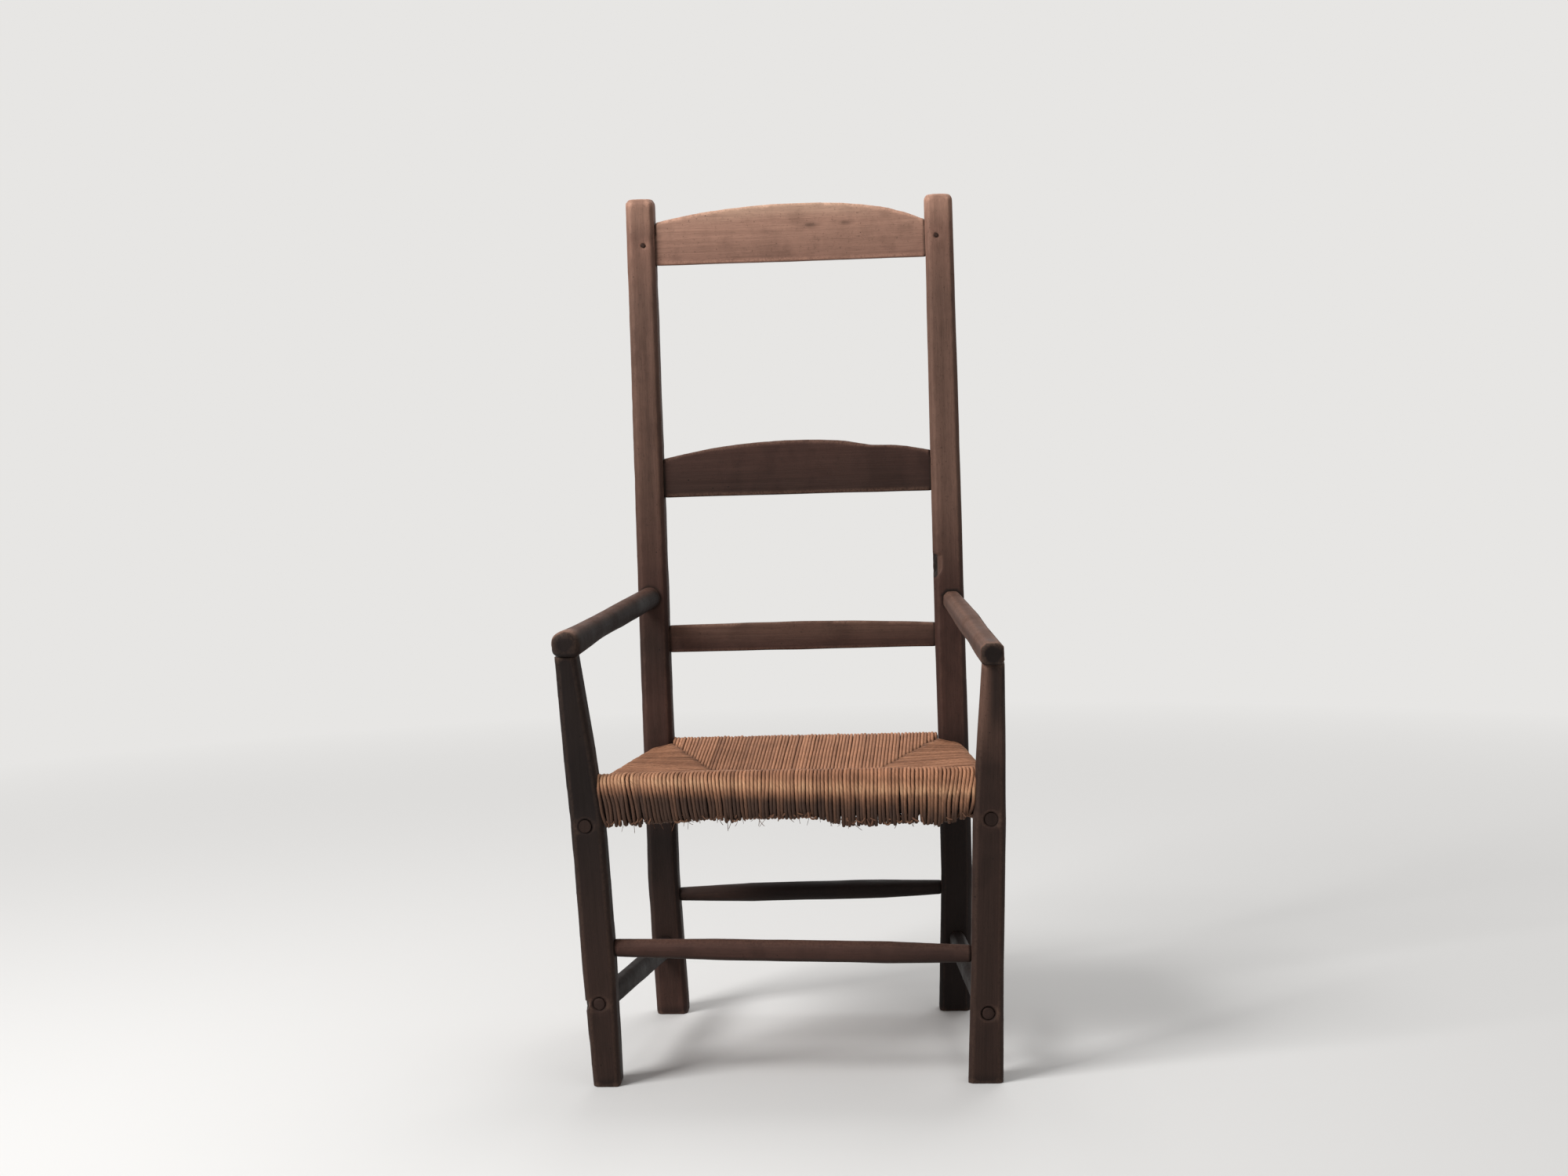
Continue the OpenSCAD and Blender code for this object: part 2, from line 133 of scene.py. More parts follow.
def add(tree, kind, inputs=None, **settings):
    """A shader node with its settings made and its inputs set or linked."""
    node = tree.nodes.new("ShaderNode" + kind)
    for key, value in settings.items():
        setattr(node, key, value)
    for key, value in (inputs or {}).items():
        if isinstance(value, bpy.types.NodeSocket):
            tree.links.new(value, node.inputs[key])
        else:
            node.inputs[key].default_value = value
    return node


def mixed(tree, factor, a, b, blend="MIX"):
    """Two colours mixed. The three inputs and the output are the colour ones of a Mix node."""
    node = add(tree, "Mix", {0: factor, 6: a, 7: b}, data_type="RGBA", blend_type=blend)
    return node.outputs[2]


def span(tree, value, low, high, to_low=0.0, to_high=1.0):
    """value between low and high, carried over to between to_low and to_high."""
    return add(tree, "MapRange", {"Value": value, "From Min": low, "From Max": high,
                                  "To Min": to_low, "To Max": to_high}).outputs[0]


def calc(tree, operation, a, b):
    """The result of a Math node."""
    return add(tree, "Math", {0: a, 1: b}, operation=operation).outputs[0]


def shaded(tree, colour, factor):
    """colour made darker or lighter by a factor, or tinted by another colour."""
    return mixed(tree, 1.0, colour, factor, "MULTIPLY")


def grey_noise(tree, vector, scale, detail, roughness=0.55):
    """Noise with its own scale along each axis of vector."""
    stretched = add(tree, "Mapping", {"Vector": vector, "Scale": scale}).outputs[0]
    return add(tree, "TexNoise", {"Vector": stretched, "Scale": 1.0, "Detail": detail,
                                  "Roughness": roughness}).outputs[0]


def new_material(name):
    """A new material, its node tree and its Principled shader."""
    material = bpy.data.materials.new(name)
    material.use_nodes = True
    return material, material.node_tree, material.node_tree.nodes["Principled BSDF"]


def carried(tree, name, output):
    """What carry() has stored under name."""
    return add(tree, "Attribute", attribute_name=name).outputs[output]


def dress(tree, shader, colour, roughness, shine, height, strength, depth):
    """Gives the shader its colour, its roughness and a bump of the given strength and depth."""
    bump = add(tree, "Bump", {"Height": height, "Strength": strength, "Distance": depth})
    tree.links.new(colour, shader.inputs["Base Color"])
    tree.links.new(roughness, shader.inputs["Roughness"])
    tree.links.new(bump.outputs[0], shader.inputs["Normal"])
    shader.inputs["Specular IOR Level"].default_value = shine


COMMON = (0.3, 0.7)        # the range that holds nearly all of a noise's values

RAW_WOOD_AND_HIGHLIGHT = (0.40, 0.235, 0.155, 1)
RAIL_BROWN = (0.024, 0.0135, 0.0105, 1)
BRIGHTER = (1.9, 1.9, 1.9, 1)
DIRT_AND_SHADE = (0.016, 0.011, 0.008, 1)
HOLE = (0.006, 0.004, 0.003, 1)
RUSH_DARK = (0.200, 0.084, 0.045, 1)
RUSH_LIGHT = (0.660, 0.315, 0.175, 1)
RUSH_RUBBED_AND_HIGHLIT = (0.80, 0.49, 0.28, 1)
RUSH_DIRT_AND_SHADE = (0.036, 0.022, 0.017, 1)

# Cells to a metre of the wood's patterns. The first three run along the grain: two directions
# across it, and then along it.
FIBRES = (900, 900, 14)
STREAKS = (170, 170, 3.2)
PORES = (1900, 1900, 75)
BLOTCHES = (21, 21, 13)
SPECKS = (330, 330, 260)
HOLES = 88.0

# Cells of the rush's patterns. The first two go with each strand: the numbers are for its two
# directions across and for a metre along it. The last one's are for a metre.
RUSH_FIBRES = (2.4, 2.4, 34)
RUSH_BREAKS = (0.8, 0.8, 90)
RUSH_BLOTCHES = (26, 26, 26)


def worn_wood(name, on_cad_node=False):
    """Old waxed wood with grain, pores, worm holes and dirt, paler on edges and upper sides from
    wear and as a painted highlight, and darker in corners and underneath as painted shade.
    """
    material, tree, shader = new_material(name)
    place = add(tree, "TexCoord").outputs["Object"]
    if on_cad_node:
        grain, base, wear_and_shade = place, RAIL_BROWN, 0.0
    else:
        grain = carried(tree, "grain", "Vector")
        base = carried(tree, "base", "Color")
        wear_and_shade = carried(tree, "wear_and_shade", "Fac")

    fibre = grey_noise(tree, grain, FIBRES, 3)
    streak = grey_noise(tree, grain, STREAKS, 4, 0.65)
    pore = span(tree, grey_noise(tree, grain, PORES, 1), 0.60, 0.70)
    blotch = grey_noise(tree, place, BLOTCHES, 4, 0.6)
    speck = grey_noise(tree, place, SPECKS, 2, 0.7)
    # A hole stands in the middle of one cell in seven or so
    cells = add(tree, "TexVoronoi", {"Vector": place, "Scale": HOLES})
    chosen = add(tree, "SeparateColor", {0: cells.outputs["Color"]}).outputs[0]
    hole = calc(tree, "MULTIPLY", span(tree, cells.outputs["Distance"], 0.055, 0.085, 1, 0),
                span(tree, chosen, 0.84, 0.86))

    colour = shaded(tree, base, span(tree, fibre, *COMMON, 0.90, 1.10))
    colour = shaded(tree, colour, span(tree, streak, *COMMON, 0.88, 1.11))
    colour = shaded(tree, colour, span(tree, blotch, 0.35, 0.65, 0.78, 1.18))
    # Paler on edges from wear, and on upper sides also as a painted highlight
    rubbed = calc(tree, "MULTIPLY", span(tree, wear_and_shade, 0.15, 0.9, 0, 0.85),
                  span(tree, speck, 0.35, 0.60, 0.30, 1))
    paler = mixed(tree, 0.16, shaded(tree, base, BRIGHTER), RAW_WOOD_AND_HIGHLIGHT)
    colour = mixed(tree, rubbed, colour, paler)
    # Dirt in blotches, and painted shade in corners and underneath, and darker joints, where the
    # wear value is below zero
    grime_and_shade = calc(tree, "ADD", span(tree, blotch, 0.52, 0.72, 0, 0.34),
                 span(tree, wear_and_shade, -0.1, -0.9, 0, 0.75))
    colour = mixed(tree, grime_and_shade, colour, DIRT_AND_SHADE)
    colour = mixed(tree, span(tree, speck, 0.62, 0.74, 0, 0.45), colour, DIRT_AND_SHADE)
    colour = mixed(tree, calc(tree, "MULTIPLY", pore, 0.22), colour, DIRT_AND_SHADE)
    colour = mixed(tree, hole, colour, HOLE)

    height = calc(tree, "ADD", calc(tree, "MULTIPLY", fibre, 0.5), streak)
    height = calc(tree, "SUBTRACT", height, calc(tree, "MULTIPLY", pore, 0.3))
    height = calc(tree, "ADD", height, calc(tree, "MULTIPLY", speck, 0.3))
    height = calc(tree, "SUBTRACT", height, calc(tree, "MULTIPLY", hole, 3.0))
    dress(tree, shader, colour, roughness=span(tree, blotch, *COMMON, 0.48, 0.72), shine=0.11,
          height=height, strength=0.45, depth=0.7 * MM)
    return material


def old_rush(name):
    """Twisted dry rush: fibres that wind round each strand, and every strand its own tone."""
    material, tree, shader = new_material(name)
    place = add(tree, "TexCoord").outputs["Object"]
    lay = carried(tree, "lay", "Vector")
    fibre = grey_noise(tree, lay, RUSH_FIBRES, 4, 0.7)
    broken = grey_noise(tree, lay, RUSH_BREAKS, 3, 0.6)
    blotch = grey_noise(tree, place, RUSH_BLOTCHES, 3)
    tone = calc(tree, "ADD", carried(tree, "tone", "Fac"),
                span(tree, blotch, *COMMON, -0.14, 0.14))
    colour = mixed(tree, tone, RUSH_DARK, RUSH_LIGHT)
    colour = shaded(tree, colour, span(tree, fibre, 0.28, 0.72, 0.66, 1.28))
    colour = shaded(tree, colour, span(tree, broken, *COMMON, 0.86, 1.12))
    # The ridge paler from wear and as a painted highlight where light catches the roll
    rubbed = calc(tree, "MULTIPLY", carried(tree, "rubbed", "Fac"), span(tree, fibre, 0.30, 0.55))
    colour = mixed(tree, rubbed, colour, RUSH_RUBBED_AND_HIGHLIT)
    # Dirt and painted shade: the outer face below the ridge, the gaps between strands, the lower
    # strands and the seams
    colour = mixed(tree, carried(tree, "grime_and_shade", "Fac"), colour, RUSH_DIRT_AND_SHADE)
    height = calc(tree, "ADD", fibre, calc(tree, "MULTIPLY", broken, 0.5))
    dress(tree, shader, colour, roughness=span(tree, fibre, *COMMON, 0.78, 0.55), shine=0.18,
          height=height, strength=0.55, depth=0.5 * MM)
    return material


WOOD = worn_wood("worn_wood")
RAIL_WOOD = worn_wood("rail_wood", on_cad_node=True)
RUSH = old_rush("old_rush")


# ---- Wooden members ----

PLUG_PAST_LEG = 8 * MM     # how far behind its front leg an arm is filled
SMOOTHING = 0.5            # how far each smoothing pulls a mesh's points together
WEAR_SPREAD = 4            # how many times the wear on edges and the painted shade in corners is spread
FULL_WEAR = 0.16 * MM      # an edge that stands out this far is fully worn
CLOSE = 0.8 * MM           # members nearer than this count as touching


def filled_mortise(mesh, arm, leg):
    """Adds to an arm's mesh a solid front end, so that its leg's tenon doesn't show in it."""
    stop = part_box(leg)[1][Y] + PLUG_PAST_LEG
    shape = bmesh.new()
    shape.from_mesh(mesh)
    front = [vertex.co.copy() for vertex in shape.verts if vertex.co[Y] < stop]
    front += [Vector(point) for point in section_points(arm, Y, stop).tolist()]
    corners = [shape.verts.new(point) for point in front]
    hull = bmesh.ops.convex_hull(shape, input=corners)
    left_over = {item for item in hull["geom_interior"] + hull["geom_unused"]
                 if isinstance(item, bmesh.types.BMVert)}
    bmesh.ops.delete(shape, geom=list(left_over), context="VERTS")
    shape.to_mesh(mesh)
    shape.free()


def remeshed(node, voxel, rounding):
    """The node's shape as an even mesh of small faces, with its edges rounded off."""
    source = bpy.data.objects.new("source", NODES[node].data.copy())
    if node in ARM_FOOT:
        filled_mortise(source.data, node, node.replace("arm", "front_leg"))
    bpy.context.scene.collection.objects.link(source)
    fine = source.modifiers.new("fine", "REMESH")
    fine.mode, fine.voxel_size = "VOXEL", voxel
    rounded = source.modifiers.new("rounded", "SMOOTH")
    rounded.factor, rounded.iterations = SMOOTHING, rounding
    mesh = bpy.data.meshes.new_from_object(
        source.evaluated_get(bpy.context.evaluated_depsgraph_get()))
    bpy.data.objects.remove(source)
    mesh.materials.clear()
    return mesh


def member_axes(points):
    """Three directions as columns: two across the member and the last one along it."""
    spread = points - points.mean(0)
    along = np.linalg.svd(spread.T @ spread)[0][:, 0]
    across = np.cross(along, (0, 1, 0) if abs(along[Y]) < 0.8 else (0, 0, 1))
    across /= np.linalg.norm(across)
    return np.stack([across, np.cross(along, across), along], axis=1)


def bulge(points, normals, ends):
    """How far each point stands out (positive) or lies in a corner (negative).

    It is about -1 to 1. ends holds the two points of each edge of the mesh.
    """
    count = np.bincount(ends.ravel(), minlength=len(points))[:, None]

    def neighbours(values):
        total = np.zeros_like(values)
        for axis in range(values.shape[1]):
            total[:, axis] = (np.bincount(ends[:, 0], values[ends[:, 1], axis], len(points))
                              + np.bincount(ends[:, 1], values[ends[:, 0], axis], len(points)))
        return total / count

    out = ((points - neighbours(points)) * normals).sum(1)[:, None]
    for _ in range(WEAR_SPREAD):
        out = 0.4 * out + 0.6 * neighbours(out)
    return out[:, 0] / FULL_WEAR


def touching(points, node, reach=4 * MM):
    """1 where another member touches this one, down to 0 from reach away."""
    corners, faces = [], []
    for other, thing in NODES.items():
        if other not in (node, "rush_seat", "slat_pegs"):
            first = sum(len(part) for part in corners)
            corners.append(rows_of(thing.data.vertices, "co", 3))
            faces += [[first + i for i in face.vertices] for face in thing.data.polygons]
    tree = BVHTree.FromPolygons(np.concatenate(corners).tolist(), faces)
    gaps = [tree.find_nearest(point, reach)[3] for point in points.tolist()]
    near = np.array([-reach if gap is None else -gap for gap in gaps])
    return smooth_step(near, -reach, -CLOSE)


def tone_along(stops, height):
    """Colour for each height, from (height, (r, g, b)) stops."""
    levels = [level for level, _ in stops]
    return np.stack([np.interp(height, levels, [colour[i] for _, colour in stops])
                     for i in range(3)] + [np.ones(len(height))], axis=1)


def notch(points, centre, inward, half_length, depth):
    """A splintered notch in an edge, torn off short at its top and running out at its foot.

    Returns the moved points and how far each was pressed in.
    """
    inward = np.array(inward, float) / np.linalg.norm(inward)
    away = (points - centre) @ inward
    climb = (points[:, Z] - centre[Z]) / half_length
    rough = 0.85 + 0.25 * noise(points / (np.array([6, 6, 9]) * MM), 33)
    floor = depth * smooth_step(climb, -1, -0.3) * (1 - smooth_step(climb, 0.85, 1)) * rough
    near = np.linalg.norm((points - centre)[:, :2], axis=1) < 30 * MM
    press = np.clip(floor - away, 0, None) * near * (floor > 0)
    return points + np.outer(press, inward), press


def squared_foot(points, arm, leg, strength, stand_out):
    """Fills out an arm's round underside over its leg, down to the leg's shoulder.

    strength is how square it becomes and stand_out how far it stands out beside the leg.
    """
    leg_low, leg_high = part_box(leg)
    stations = (0.0, 0.1)   # places along Y that give the direction of the arm's middle line
    middles = [(low + high) / 2 for low, high in (cut(arm, Y, at) for at in stations)]
    share = (points[:, Y] - stations[0]) / (stations[1] - stations[0])
    middle = middles[0] + (middles[1] - middles[0]) * share[:, None]
    aside, down = points[:, X] - middle[:, X], points[:, Z] - middle[:, Z]
    radius = np.hypot(aside, down) + 1e-9
    square = ((aside / radius) ** 4 + (down / radius) ** 4) ** -0.25
    here = 1 - smooth_step(points[:, Y], leg_high[Y] - 10 * MM, leg_high[Y] + 95 * MM)
    here *= radius > 9.5 * MM   # only the outside, not the wall of the mortise
    grown = 1 + (strength * (square - 1) * smooth_step(-down, -2 * MM, 7 * MM) + 0.05) * here
    shaped = points.copy()
    beside = smooth_step(-aside, 2 * MM, 14 * MM)
    beside *= 1 - smooth_step(points[:, Y], leg_low[Y], leg_high[Y])
    shaped[:, X] = middle[:, X] + aside * grown - stand_out * beside
    shoulder = points[:, Z].min()
    shaped[:, Z] = np.maximum(middle[:, Z] + down * grown, np.minimum(points[:, Z], shoulder))
    return shaped


# Tones of the wood, from the pale crest of the top slat to old dark stain. Lower down they darken,
# partly the wood's own colour and partly painted shade of a light that falls off downwards.
CREST = (0.480, 0.300, 0.215)
PALE = (0.365, 0.205, 0.148)
WARM = (0.235, 0.126, 0.092)
TAN = (0.150, 0.084, 0.062)
MIDDLE = (0.105, 0.057, 0.042)
BROWN = (0.064, 0.032, 0.025)
DEEP = (0.034, 0.019, 0.015)
BLACK = (0.015, 0.010, 0.009)

# Each wooden node: (slot, size of its mesh's faces in mm, colours by height in m)
MEMBERS = {
    "back_post_left": ("wood", 2.3, [(0.0, BROWN), (0.12, DEEP), (0.25, BLACK), (0.43, BROWN),
                                     (0.52, DEEP), (0.60, BROWN), (0.75, MIDDLE), (1.00, TAN),
                                     (1.09, WARM), (1.12, PALE)]),
    "back_post_right": ("wood", 2.3, [(0.0, BLACK), (0.33, BLACK), (0.42, BROWN), (0.60, BROWN),
                                      (0.72, TAN), (1.00, TAN), (1.09, WARM), (1.12, PALE)]),
    "front_leg_left": ("dark_wood", 2.3, [(0.0, DEEP), (0.15, DEEP), (0.35, BLACK), (0.55, BLACK)]),
    "front_leg_right": ("dark_wood", 2.3, [(0.0, DEEP), (0.40, DEEP), (0.47, MIDDLE),
                                           (0.52, MIDDLE)]),
    "arm_left": ("wood", 2.2, [(0.0, BLACK)]),
    "arm_right": ("wood", 2.2, [(0.0, MIDDLE)]),
    "top_slat": ("pale_wood", 2.2, [(1.05, WARM), (1.10, PALE)]),
    "middle_slat": ("wood", 2.2, [(0.72, DEEP), (0.80, BROWN)]),
    "lower_slat": ("wood", 2.0, [(0.505, DEEP), (0.517, BROWN), (0.540, MIDDLE)]),
    "slat_pegs": ("dark_wood", 0.8, [(0.0, BROWN)]),
    "stretcher_front": ("wood", 2.0, [(0.0, BROWN)]),
    "stretcher_back": ("dark_wood", 2.0, [(0.0, DEEP)]),
    "stretcher_left": ("dark_wood", 2.0, [(0.0, BLACK)]),
    "stretcher_right": ("dark_wood", 2.0, [(0.0, BLACK)]),
}
ROUNDING = 3   # how many times each mesh is smoothed to wear its edges
GRAIN_SHIFT = 3.7   # how far apart the members' grain patterns lie

# Relief of the wood, in mm: (height, cells across the grain and along it, seed)
RELIEF = (
    (0.45, (48, 48, 130), 0),       # hand-shaped waviness
    (0.26, (13, 13, 38), 40),       # dents
    (0.18, (4.2, 4.2, 55), 80),     # raised grain
)
KNOCKS = (0.9, (9, 9, 17), 120)     # worn edges are knocked back here and there

# Breaks in a member's left front edge: (height, way in, half length, depth)
NOTCHES = {
    "back_post_right": (0.622, (1, 0.50, 0), 20 * MM, 12.5 * MM),
    "front_leg_left": (0.104, (1, 0.35, 0), 7 * MM, 6 * MM),
}
# Stretchers whose tenons come out in the front legs, trimmed level with them
TENONED = ("stretcher_left", "stretcher_right")
# Members whose upper side is paler: wear from hands or feet, and painted light from above
RUBBED_AND_LIT_ON_TOP = ("arm_left", "arm_right", "stretcher_front", "top_slat", "middle_slat")
# How far each arm's underside is squared over its leg, and how far it stands out beside it
ARM_FOOT = {"arm_left": (0.9, 3 * MM), "arm_right": (0.45, 0)}
# Where grease has soaked into the top slat: (across, height), and how wide and tall each mark is
SMUDGES = ((0.030, 1.100), (0.082, 1.102))
SMUDGE_SIZE = (13 * MM, 3.5 * MM)
# How far forward the front legs reach
LEG_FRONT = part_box("front_leg_left")[0][Y]


def blended(base, tone, share):
    """The base colours moved by each point's share towards one tone."""
    return base + (np.array((*tone, 1)) - base) * np.clip(share, 0, 1)[:, None]


def below_crest(points):
    """How far each point of a slat lies below its upper edge."""
    column_width = 4 * MM
    column = np.round(points[:, X] / column_width).astype(int)
    column -= column.min()
    crest = np.full(column.max() + 1, -1.0)
    np.maximum.at(crest, column, points[:, Z])
    return crest[column] - points[:, Z]


def stained_lit_and_shaded(node, points, normals, base):
    """The node's colours with what hands, dust and old grease have made of them, with painted light
    on lit sides and painted shade on sides away from the light.
    """
    if "post" in node or "leg" in node:
        # Darker at the foot, and painted shade on the right flank, away from the light
        base = blended(base, BLACK, 0.6 * (1 - smooth_step(points[:, Z], 4 * MM, 16 * MM)))
        base = blended(base, BLACK, 0.45 * smooth_step(normals[:, X], 0.3, 0.9))
    if node == "front_leg_right":
        # Painted shade to the right of its middle line, above the seat
        levels = (0.40, 0.50)
        middles = [sum(cut(node, Z, level))[X] / 2 for level in levels]
        aside = points[:, X] - np.interp(points[:, Z], levels, middles)
        darkening = smooth_step(aside, -9 * MM, 3 * MM) * smooth_step(points[:, Z], 0.41, 0.48)
        base = blended(base, BLACK, 0.85 * darkening)
    if node == "back_post_right":
        # Painted shade in the open joint over the arm's back end
        over = np.abs(points[:, Z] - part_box("arm_right")[1][Z]) < 6 * MM
        base = blended(base, BLACK, 0.9 * touching(points, node, 5 * MM) * over)
    front = points[:, Y].min()
    if node == "arm_left":
        # Painted light on its top and its outer side, which face the light, and most of all on the
        # knob
        painted_lit_side = smooth_step(normals @ (-0.45, 0, 0.89), 0.1, 0.8)
        knob = 1 - smooth_step(points[:, Y], front + 14 * MM, front + 30 * MM)
        base = blended(blended(base, BROWN, painted_lit_side), TAN, painted_lit_side * knob)
    if node.startswith("arm"):
        # The dark end grain in front, and painted shade on the underside
        end = (points[:, Y] < front + 7 * MM) * smooth_step(-normals[:, Y], 0.35, 0.65)
        base = blended(base, BLACK, end)
        base = blended(base, BLACK, 0.75 * smooth_step(-normals[:, Z], 0.2, 0.8))
    if node in TENONED:
        base = blended(base, DEEP, points[:, Y] < LEG_FRONT + 4 * MM)
    if node == "stretcher_back":
        base = blended(base, BLACK, smooth_step(points[:, X], -130 * MM, -30 * MM))
    if node == "stretcher_front":
        base = blended(base, BLACK, 0.45 * smooth_step(points[:, X], 60 * MM, 200 * MM))
    if node == "top_slat":
        midway = 1 - 0.85 * smooth_step(np.abs(points[:, X]), 60 * MM, 150 * MM)
        crest = 1 - smooth_step(below_crest(points), 3 * MM, 24 * MM)
        base = blended(base, CREST, midway * crest)
        patchy = 0.5 + 0.5 * noise(points / (7 * MM), 61)
        for place in SMUDGES:
            away = (((points[:, [X, Z]] - place) / SMUDGE_SIZE) ** 2).sum(1)
            base = blended(base, DEEP, 0.75 * np.exp(-away) * patchy)
    return base


def wooden_member(node, seed, slot, voxel, tones):
    """Makes the weathered copy of a CAD node. The last three are as in MEMBERS."""
    mesh = remeshed(node, voxel * MM, ROUNDING)
    points = rows_of(mesh.vertices, "co", 3).astype(float)
    normals = rows_of(mesh.vertices, "normal", 3).astype(float)
    ends = rows_of(mesh.edges, "vertices", 2)
    local = points @ member_axes(points)
    wear_and_shade = bulge(points, normals, ends)
    joint = touching(points, node)
    if "leg" in node:
        # The tenons show in the legs' front faces as hardly more than fine grooves
        joint *= 1 - 0.7 * smooth_step(-normals[:, Y], 0.5, 0.9)
    # Standing-out edges count as wear. Corners and downward faces go below zero as painted shade,
    # and joints darken too.
    wear_and_shade = (wear_and_shade - np.clip(np.median(wear_and_shade), 0, 1)) * (1 - joint) - 0.8 * joint
    wear_and_shade -= 0.8 * smooth_step(-normals[:, Z], 0.3, 0.9)
    if node in TENONED:
        wear_and_shade[points[:, Y] < LEG_FRONT + 2 * MM] = 0
    base = stained_lit_and_shaded(node, points, normals, tone_along(tones, points[:, Z]))
    relief = sum(height * noise(local / (np.array(cells) * MM), seed + more)
                 for height, cells, more in RELIEF)
    amount, cells, more = KNOCKS
    knocks = noise(local / (np.array(cells) * MM), seed + more)
    relief -= amount * np.clip(wear_and_shade, 0, 1.2) * smooth_step(knocks, 0.15, 0.8)
    if node == "slat_pegs":
        relief *= 0.3
    points += normals * relief[:, None] * MM
    if node in NOTCHES:
        height, inward, half_length, depth = NOTCHES[node]
        low, high = cut(node, Z, height)
        corner = np.array([low[X], low[Y], height])
        points, press = notch(points, corner, inward, half_length, depth)
        torn = smooth_step(press, 0.4 * MM, 1.6 * MM)
        # The torn face is paler raw wood; its far side is painted shade, black
        deep = torn * smooth_step(corner[X] - points[:, X], -0.55 * depth, -0.35 * depth)
        base = blended(base, TAN, 0.45 * torn)
        base = blended(base, BLACK, deep)
        wear_and_shade -= 1.6 * deep
    if node in ARM_FOOT:
        points = squared_foot(points, node, node.replace("arm", "front_leg"), *ARM_FOOT[node])
    # Upper sides paler: wear, and painted light from above
    if node in RUBBED_AND_LIT_ON_TOP:
        wear_and_shade += 0.55 * smooth_step(normals[:, Z], 0.1, 0.9) * (1 - joint)
    if node in TENONED:
        points[:, Y] = np.maximum(points[:, Y], LEG_FRONT - 0.2 * MM)
    points[:, Z] = np.maximum(points[:, Z], 0)
    mesh.vertices.foreach_set("co", points.astype(np.float32).ravel())
    carry(mesh, "grain", "FLOAT_VECTOR", local + GRAIN_SHIFT * seed)
    carry(mesh, "base", "FLOAT_COLOR", base)
    carry(mesh, "wear_and_shade", "FLOAT", np.clip(wear_and_shade, -1, 1))
    show(mesh, "worn_" + node, WOOD, slot, node)


for seed, (node, description) in enumerate(MEMBERS.items()):
    wooden_member(node, seed, *description)

# The seat rails stay as they are, inside the rush
for side in ("front", "back", "left", "right"):
    rail = NODES["seat_rail_" + side]
    rail.data.materials.clear()
    rail.data.materials.append(RAIL_WOOD)


# ---- Rush seat ----

PITCH = 4.65 * MM          # from one strand to the next along a rail
LIFT = 3.3 * MM            # from the wood of a rail to the middle of a strand
HALF_WIDTH = 2.36 * MM     # of a strand
HALF_DEPTH = 2.25 * MM
STEP = 4.2 * MM            # from one ring of a strand to the next
SIDES = 8                  # faces round a strand
TWIST = 21 * MM            # length of one full turn of a strand
ROLL_RADIUS = 15 * MM      # how far in from a rail's outer face the strands begin to bend over
ROLL_DROP = 24 * MM        # how far down that face the bend goes
FOOT_DROP = 17 * MM        # how far up it the bend under the rail begins
DIVE = 7 * MM              # how far a strand dives where it meets the crossing ones
CLOSED = 0.25              # width of a strand's end, as a share of its full width
LOBE = 0.06                # how far a strand's two plies swell past its round section
FLANK_SHADE = 0.62          # painted shade between two strands, as a share of the full darkening
NARROW, BROAD = 5, 2       # how sharply that painted shade keeps to the sides of a strand
UNDER_SHADE = 0.45          # painted shade on the lower strands
VALLEY_SHADE = 0.55         # painted shade in the valley where strands of two fields meet
MOST_DIRT_AND_SHADE = 0.94           # no strand is darker than this along its middle

# Heights on a rail's outer face, where 0 is its lower edge and 1 its upper edge. A field's drop
# lowers them.
RIDGE, RIDGE_SPREAD = 0.84, 0.13       # the ridge that legs and hands have made pale by wear, with a painted highlight where light catches the roll
CROWN, CROWN_SPREAD = 1.06, 0.10       # a thin darker strip just over it
FACE_SHADE_START, FACE_SHADE_FULL = 0.86, 0.40    # where the painted shade of the outer face begins and is full

# Seeds of the rush's random fields
SHARED_STRAY, OWN_STRAY, OWN_LIFT, TANGLE_LIFT, SLOW_SAG = 5, 6, 9, 10, 21

rng = np.random.default_rng(11)

front_low, front_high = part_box("seat_rail_front")
back_low, back_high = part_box("seat_rail_back")
seat_z = front_high[Z]
front_y = (front_low[Y] + front_high[Y]) / 2
back_y = (back_low[Y] + back_high[Y]) / 2
# The legs and posts at the middle of the rails' height
leg_left, leg_right, post_left, post_right = (
    cut(node, Z, seat_z - 25 * MM)
    for node in ("front_leg_left", "front_leg_right", "back_post_left", "back_post_right"))

# Where the four woven fields meet: x, y and the heights of the upper and the lower strands
FRONT_LEFT = (leg_left[1][X] - 1 * MM, front_y + 10 * MM, seat_z - 10 * MM, seat_z - 54 * MM)
FRONT_RIGHT = (leg_right[0][X] + 1 * MM, front_y + 10 * MM, seat_z - 10 * MM, seat_z - 54 * MM)
BACK_LEFT = (post_left[1][X], back_y - 14 * MM, seat_z - 9 * MM, seat_z - 54 * MM)
BACK_RIGHT = (post_right[0][X], back_y - 14 * MM, seat_z - 9 * MM, seat_z - 54 * MM)
SEAM_LEFT = (-108.5 * MM, -17.5 * MM, seat_z - 24.5 * MM, seat_z - 58 * MM)
SEAM_RIGHT = (112.5 * MM, -40 * MM, seat_z - 24.5 * MM, seat_z - 58 * MM)


def line_at(corners, axis, at):
    """The point of a line of corners where its coordinate along axis is at."""
    order = sorted(corners, key=lambda corner: corner[axis])
    levels = [corner[axis] for corner in order]
    return [float(np.interp(at, levels, [corner[i] for corner in order])) for i in range(4)]


def arc(centre, wide, tall, start, stop, count=8):
    """Points on a stretched arc in the plane across a rail, between two angles in degrees."""
    return [(centre[0] + wide * math.cos(math.radians(a)),
             centre[1] + tall * math.sin(math.radians(a)))
            for a in np.linspace(start, stop, count)]


